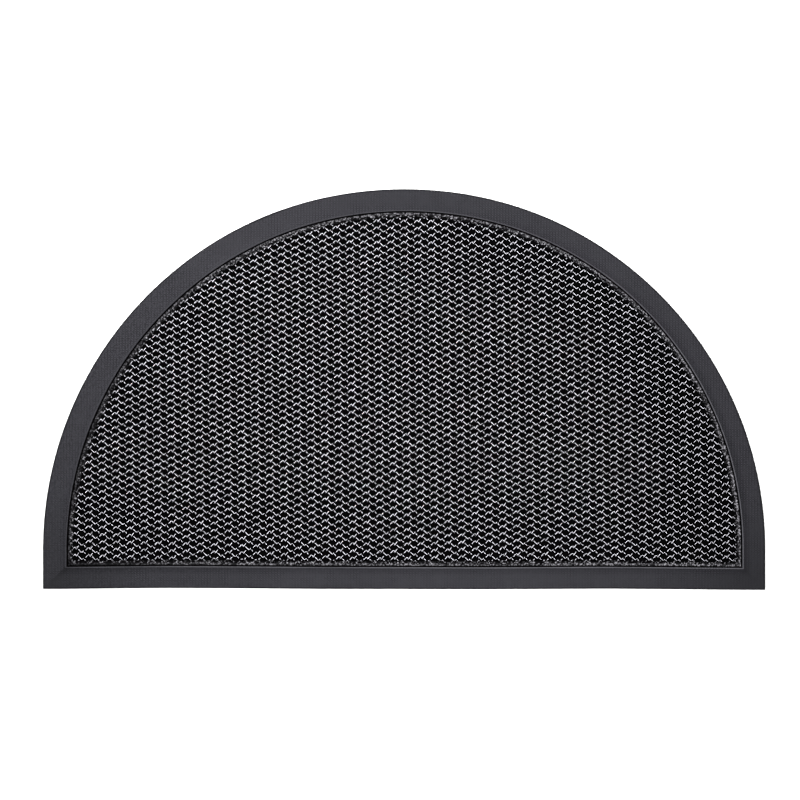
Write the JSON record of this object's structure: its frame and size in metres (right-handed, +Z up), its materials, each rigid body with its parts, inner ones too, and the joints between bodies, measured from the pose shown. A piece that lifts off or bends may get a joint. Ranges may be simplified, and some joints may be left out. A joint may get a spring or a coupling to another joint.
{
  "type": "doormat",
  "caption": "Half-round scraper doormat with a bevelled border, a raised inner lip, a dark backing sheet and an open zigzag filament web with a pressed margin.",
  "frame": {"origin": "on the floor under the mat, in the middle of its length and width", "axes": "+X along the straight side to the right, +Y from the straight side towards the top of the arc, +Z up"},
  "size_m": [0.9, 0.4994, 0.0063],
  "materials": {
    "border_vinyl": "matte, finely embossed, slightly violet dark grey",
    "backing_rubber": "matte, near black",
    "web_vinyl": "glossy black filaments with pale rubbed crests"
  },
  "bodies": {
    "root": {"border": "border_vinyl", "backing_sheet": "backing_rubber", "web_panel": "web_vinyl"}
  },
  "joints": []
}
